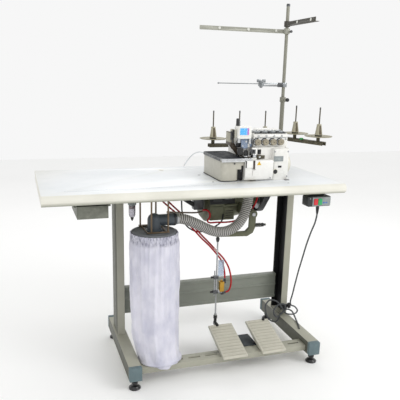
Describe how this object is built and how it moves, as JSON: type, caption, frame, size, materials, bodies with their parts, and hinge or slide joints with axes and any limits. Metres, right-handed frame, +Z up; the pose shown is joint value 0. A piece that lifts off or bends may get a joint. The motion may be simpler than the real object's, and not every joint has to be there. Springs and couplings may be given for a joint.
{
  "type": "serger overlock machine",
  "caption": "Industrial overlock sewing head on a table and steel stand, with pedals, clutch motor, dust bag, air lines and a cone thread stand.",
  "frame": {"origin": "bottom centre of the whole object's box, on the floor, leaving out the cable, hose and air tubes", "axes": "+X right along the table seen by the operator, +Y to the back, +Z up"},
  "size_m": [1.262, 0.5748, 1.533],
  "materials": {
    "laminate": "smooth laminate",
    "stand_paint": "satin enamel",
    "bar_paint": "satin enamel",
    "cap_plastic": "moulded",
    "black_rubber": "moulded",
    "pedal_plastic": "moulded ribs",
    "drawer_paint": "hammered enamel",
    "switch_plastic": "moulded",
    "button_red": "gloss",
    "button_green": "gloss",
    "motor_paint": "painted casting",
    "pulley_steel": "turned",
    "belt_rubber": "fabric backed",
    "guard_paint": "satin",
    "rod_steel": "plated",
    "hanger_steel": "plated, worn",
    "lid_plastic": "moulded",
    "elbow_plastic": "moulded pipe",
    "bag_fabric": "woven nylon",
    "hose_plastic": "ribbed",
    "filter_plastic": "clear bowl",
    "tube_red": "extruded",
    "tube_white": "extruded",
    "cable_rubber": "sheathed",
    "bed_enamel": "baked enamel",
    "plate_enamel": "dark anodised look",
    "body_enamel": "gloss enamel",
    "cover_plastic": "gloss",
    "wheel_enamel": "enamel",
    "knob_metal": "knurled",
    "needle_steel": "polished",
    "presser_metal": "satin",
    "pole_paint": "satin",
    "arm_paint": "satin",
    "spool_plastic": "moulded",
    "guide_steel": "plated"
  },
  "bodies": {
    "frame": {"table_top": "laminate", "left_leg": "stand_paint", "right_leg": "stand_paint", "pedal_bar": "stand_paint", "crossbar": "bar_paint", "left_front_cap": "cap_plastic", "left_rear_cap": "cap_plastic", "right_front_cap": "cap_plastic", "right_rear_cap": "cap_plastic", "left_front_foot": "black_rubber", "left_rear_foot": "black_rubber", "right_front_foot": "black_rubber", "right_rear_foot": "black_rubber", "drawer_rails": "drawer_paint", "switch_box": "switch_plastic", "motor": "motor_paint", "drive_belt": "belt_rubber", "belt_guard": "guard_paint", "bag_hanger": "hanger_steel", "bag_lid": "lid_plastic", "lid_elbow": "elbow_plastic", "dust_bag": "bag_fabric", "dust_hose": "hose_plastic", "air_filter": "filter_plastic", "air_tube_a": "tube_red", "air_tube_b": "tube_red", "white_air_tube": "tube_white", "power_cable": "cable_rubber", "machine_bed": "bed_enamel", "machine_body": "body_enamel", "head_cover": "body_enamel", "lower_pole": "pole_paint"},
    "drawer": {"drawer": "drawer_paint"},
    "stop_button": {"stop_button": "button_red"},
    "start_button": {"start_button": "button_green"},
    "clutch_lever": {"clutch_lever": "motor_paint"},
    "motor_pulley": {"motor_pulley": "pulley_steel"},
    "treadle_rod": {"treadle_rod": "rod_steel"},
    "left_pedal": {"left_pedal": "pedal_plastic"},
    "right_pedal": {"right_pedal": "pedal_plastic"},
    "handwheel": {"handwheel": "wheel_enamel"},
    "cloth_plate": {"cloth_plate": "plate_enamel"},
    "looper_cover": {"looper_cover": "cover_plastic"},
    "tension_knob_1": {"tension_knob_1": "knob_metal"},
    "tension_knob_2": {"tension_knob_2": "knob_metal"},
    "tension_knob_3": {"tension_knob_3": "knob_metal"},
    "tension_knob_4": {"tension_knob_4": "knob_metal"},
    "needle_bar": {"needle_bar": "needle_steel"},
    "presser_foot": {"presser_foot": "presser_metal"},
    "upper_pole": {"upper_pole": "pole_paint"},
    "top_arm_left": {"top_arm_left": "pole_paint"},
    "top_arm_right": {"top_arm_right": "pole_paint"},
    "guide_arm": {"guide_arm": "guide_steel"},
    "lower_arm_left": {"lower_arm_left": "arm_paint", "spool_seat_1": "spool_plastic", "spool_seat_2": "spool_plastic", "spool_seat_3": "spool_plastic"},
    "lower_arm_right": {"lower_arm_right": "arm_paint", "spool_seat_4": "spool_plastic", "spool_seat_5": "spool_plastic"}
  },
  "joints": [
    {"name": "drawer_slide", "type": "slide", "parent": "frame", "child": "drawer", "axis": [0, -1, 0], "range_m": [0, 0.14]},
    {"name": "stop_button_press", "type": "slide", "parent": "frame", "child": "stop_button", "axis": [0, 1, 0], "range_m": [0, 0.003], "stiffness_N_per_m": 600, "springref_m": -0.001},
    {"name": "start_button_press", "type": "slide", "parent": "frame", "child": "start_button", "axis": [0, 1, 0], "range_m": [0, 0.003], "stiffness_N_per_m": 600, "springref_m": -0.001},
    {"name": "left_pedal_hinge", "type": "hinge", "parent": "frame", "child": "left_pedal", "pos_m": [0.119, -0.2, 0.09], "axis": [1, 0, 0], "range_deg": [-12, 4], "stiffness_Nm_per_rad": 60},
    {"name": "treadle_rod_slide", "type": "slide", "parent": "frame", "child": "treadle_rod", "axis": [0, 0, 1], "range_m": [-0.0315, 0.0106]},
    {"name": "clutch_lever_swing", "type": "hinge", "parent": "frame", "child": "clutch_lever", "pos_m": [0.261, -0.042, 0.636], "axis": [0, 1, 0], "range_deg": [-11.4, 3.8]},
    {"name": "right_pedal_hinge", "type": "hinge", "parent": "frame", "child": "right_pedal", "pos_m": [0.297, -0.2, 0.09], "axis": [1, 0, 0], "range_deg": [-12, 4]},
    {"name": "motor_pulley_spin", "type": "hinge", "parent": "frame", "child": "motor_pulley", "pos_m": [0.377, 0.165, 0.65], "axis": [1, 0, 0], "continuous": true},
    {"name": "handwheel_spin", "type": "hinge", "parent": "frame", "child": "handwheel", "pos_m": [0.377, -0.02, 0.85], "axis": [1, 0, 0], "continuous": true},
    {"name": "cloth_plate_swing", "type": "hinge", "parent": "frame", "child": "cloth_plate", "pos_m": [0.087, 0.086, 0.89], "axis": [0, 0, -1], "range_deg": [0, 80]},
    {"name": "looper_cover_hinge", "type": "hinge", "parent": "frame", "child": "looper_cover", "pos_m": [0.237, -0.131, 0.807], "axis": [1, 0, 0], "range_deg": [0, 75], "stiffness_Nm_per_rad": 0.4, "springref_deg": -34.38},
    {"name": "tension_knob_1_turn", "type": "hinge", "parent": "frame", "child": "tension_knob_1", "pos_m": [0.234, -0.114, 0.956], "axis": [0, -1, 0], "range_deg": [-360, 720]},
    {"name": "tension_knob_2_turn", "type": "hinge", "parent": "frame", "child": "tension_knob_2", "pos_m": [0.269, -0.114, 0.956], "axis": [0, -1, 0], "range_deg": [-360, 720]},
    {"name": "tension_knob_3_turn", "type": "hinge", "parent": "frame", "child": "tension_knob_3", "pos_m": [0.304, -0.114, 0.956], "axis": [0, -1, 0], "range_deg": [-360, 720]},
    {"name": "tension_knob_4_turn", "type": "hinge", "parent": "frame", "child": "tension_knob_4", "pos_m": [0.338, -0.114, 0.956], "axis": [0, -1, 0], "range_deg": [-360, 720]},
    {"name": "needle_bar_slide", "type": "slide", "parent": "frame", "child": "needle_bar", "axis": [0, 0, 1], "range_m": [-0.022, 0]},
    {"name": "presser_foot_lift", "type": "slide", "parent": "frame", "child": "presser_foot", "axis": [0, 0, 1], "range_m": [0, 0.006], "stiffness_N_per_m": 800, "springref_m": -0.02},
    {"name": "pole_height_slide", "type": "slide", "parent": "frame", "child": "upper_pole", "axis": [0, 0, 1], "range_m": [-0.04, 0.05]},
    {"name": "top_arm_left_swivel", "type": "hinge", "parent": "upper_pole", "child": "top_arm_left", "pos_m": [0.494, 0.2, 1.415], "axis": [0, 0, 1], "range_deg": [-30, 30]},
    {"name": "top_arm_right_swivel", "type": "hinge", "parent": "upper_pole", "child": "top_arm_right", "pos_m": [0.494, 0.2, 1.446], "axis": [0, 0, 1], "range_deg": [-30, 30]},
    {"name": "guide_arm_swivel", "type": "hinge", "parent": "upper_pole", "child": "guide_arm", "pos_m": [0.494, 0.2, 1.18], "axis": [0, 0, 1], "range_deg": [-30, 30]},
    {"name": "lower_arm_left_swivel", "type": "hinge", "parent": "frame", "child": "lower_arm_left", "pos_m": [0.494, 0.2, 0.906], "axis": [0, 0, 1], "range_deg": [-15, 2]},
    {"name": "lower_arm_right_swivel", "type": "hinge", "parent": "frame", "child": "lower_arm_right", "pos_m": [0.494, 0.2, 0.936], "axis": [0, 0, 1], "range_deg": [-5, 35]}
  ],
  "couplings": [
    {"joint": "treadle_rod_slide", "follows": "left_pedal_hinge", "m_per_rad": 0.15},
    {"joint": "clutch_lever_swing", "follows": "left_pedal_hinge", "ratio": 0.949},
    {"joint": "handwheel_spin", "follows": "motor_pulley_spin", "ratio": 1.2}
  ]
}
